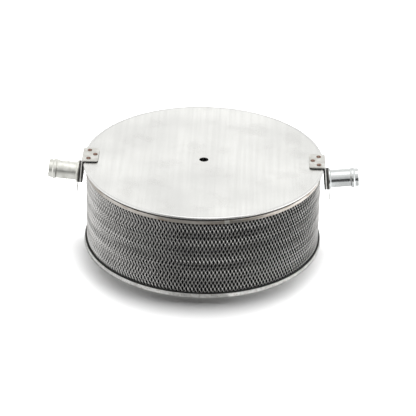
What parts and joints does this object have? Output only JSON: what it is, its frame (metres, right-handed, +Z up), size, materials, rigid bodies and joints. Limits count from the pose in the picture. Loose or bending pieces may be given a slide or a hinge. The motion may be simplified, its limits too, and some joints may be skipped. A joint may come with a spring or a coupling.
{
  "type": "air filter housing",
  "caption": "Round drum air cleaner: flat rolled-edge lid with riveted hose spigots, expanded metal drum with a foam element, and a shallow base tray with a neck seal.",
  "frame": {"origin": "centre of the base tray's underside", "axes": "+Z up through the lid, +X towards the right-hand spigot, +Y towards the side that the spigots are set back to"},
  "size_m": [0.3116, 0.24, 0.0921],
  "materials": {
    "tray_steel": "pressed tinned sheet steel with a soft sheen and small dents",
    "neck_rubber": "matt black moulded rubber",
    "foot_rubber": "matt black moulded ring",
    "expanded_metal": "expanded metal, bright on the crowns and dull in the valleys",
    "inner_cage_metal": "dull expanded metal",
    "foam": "charcoal open-cell filter foam",
    "cap_tinplate": "aged tinplate with brown stains",
    "lid_steel": "satin sheet steel with fine brushing, smudges and light scratches",
    "lid_rubber": "matt black rubber",
    "bracket_steel": "bent sheet steel, satin, a little tarnished",
    "rivet_copper": "dull copper",
    "gasket_rubber": "matt black rubber sheet",
    "plate_steel": "thin spring steel strip, grey-brown",
    "spigot_zinc": "bright zinc-plated steel tube"
  },
  "bodies": {
    "base": {"base_tray": "tray_steel", "neck_seal": "neck_rubber"},
    "element": {"element_foot_ring": "foot_rubber", "outer_mesh": "expanded_metal", "filter_foam": "foam", "inner_mesh": "inner_cage_metal", "element_top_cap": "cap_tinplate"},
    "lid": {"lid_plate": "lid_steel", "lid_seal": "lid_rubber", "left_bracket_pad": "gasket_rubber", "left_bracket": "bracket_steel", "left_rivets": "rivet_copper", "left_spigot_gasket": "gasket_rubber", "left_flange_plate": "plate_steel", "left_spigot": "spigot_zinc", "left_inner_washer": "gasket_rubber", "right_bracket_pad": "gasket_rubber", "right_bracket": "bracket_steel", "right_rivets": "rivet_copper", "right_spigot_gasket": "gasket_rubber", "right_flange_plate": "plate_steel", "right_spigot": "spigot_zinc", "right_inner_washer": "gasket_rubber"}
  },
  "joints": [
    {"name": "element_lift", "type": "slide", "parent": "base", "child": "element", "axis": [0, 0, 1], "range_m": [0, 0.06]},
    {"name": "lid_lift", "type": "slide", "parent": "element", "child": "lid", "axis": [0, 0, 1], "range_m": [0, 0.08]}
  ]
}
